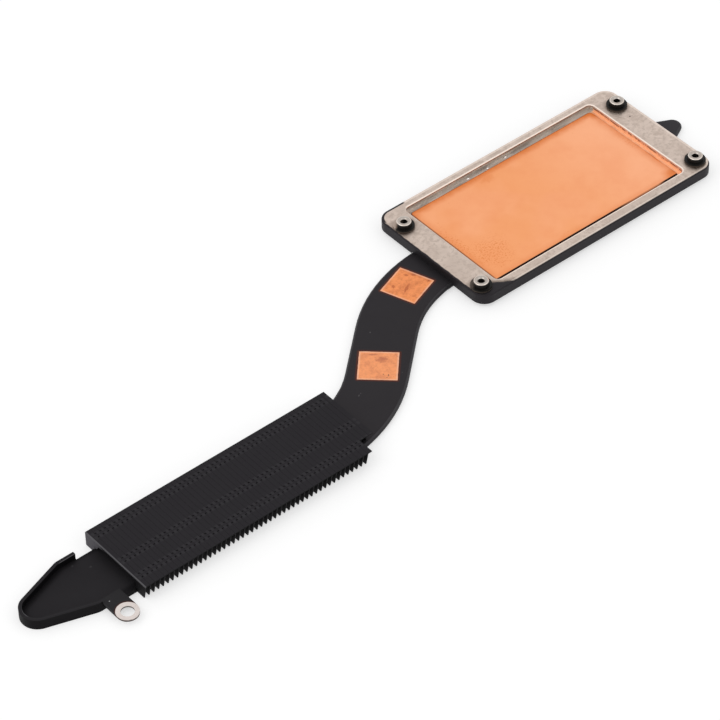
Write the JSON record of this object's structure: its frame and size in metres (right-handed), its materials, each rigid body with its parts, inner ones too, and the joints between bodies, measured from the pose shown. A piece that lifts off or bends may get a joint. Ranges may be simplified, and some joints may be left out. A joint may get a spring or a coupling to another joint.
{
  "type": "laptop heatsink",
  "caption": "Laptop heatsink: flat black heat pipe bent in an S, copper cold plate in a steel clamp frame with threaded posts, hooked fin stack and a tail tray with a screw tab.",
  "frame": {"origin": "middle of the cold plate's contact face", "axes": "+X along the heatsink to the pipe's nose, +Z out of the contact face, +Y to the frame's rear side"},
  "size_m": [0.1756, 0.0512, 0.0044],
  "materials": {
    "black_paint": "matt black",
    "black_fin": "matt black",
    "copper": "bare copper, satin",
    "frame_steel": "bare, satin",
    "post_steel": "turned, plated",
    "tab_steel": "bare round its hole, painted black elsewhere"
  },
  "bodies": {
    "root": {"heat_pipe": "black_paint", "cold_plate": "copper", "clamp_frame": "frame_steel", "threaded_posts": "post_steel", "tail_tray": "black_paint", "screw_tab": "tab_steel", "fin_01": "black_fin", "fin_02": "black_fin", "fin_03": "black_fin", "fin_04": "black_fin", "fin_05": "black_fin", "fin_06": "black_fin", "fin_07": "black_fin", "fin_08": "black_fin", "fin_09": "black_fin", "fin_10": "black_fin", "fin_11": "black_fin", "fin_12": "black_fin", "fin_13": "black_fin", "fin_14": "black_fin", "fin_15": "black_fin", "fin_16": "black_fin", "fin_17": "black_fin", "fin_18": "black_fin", "fin_19": "black_fin", "fin_20": "black_fin", "fin_21": "black_fin", "fin_22": "black_fin", "fin_23": "black_fin", "fin_24": "black_fin", "fin_25": "black_fin", "fin_26": "black_fin", "fin_27": "black_fin", "fin_28": "black_fin", "fin_29": "black_fin", "fin_30": "black_fin", "fin_31": "black_fin", "fin_32": "black_fin", "fin_33": "black_fin", "fin_34": "black_fin", "fin_35": "black_fin", "fin_36": "black_fin", "fin_37": "black_fin", "fin_38": "black_fin", "fin_39": "black_fin", "fin_40": "black_fin", "fin_41": "black_fin", "fin_42": "black_fin", "fin_43": "black_fin", "fin_44": "black_fin", "fin_45": "black_fin", "fin_46": "black_fin", "fin_47": "black_fin", "fin_48": "black_fin", "fin_49": "black_fin", "fin_50": "black_fin", "fin_51": "black_fin", "fin_52": "black_fin"}
  },
  "joints": []
}
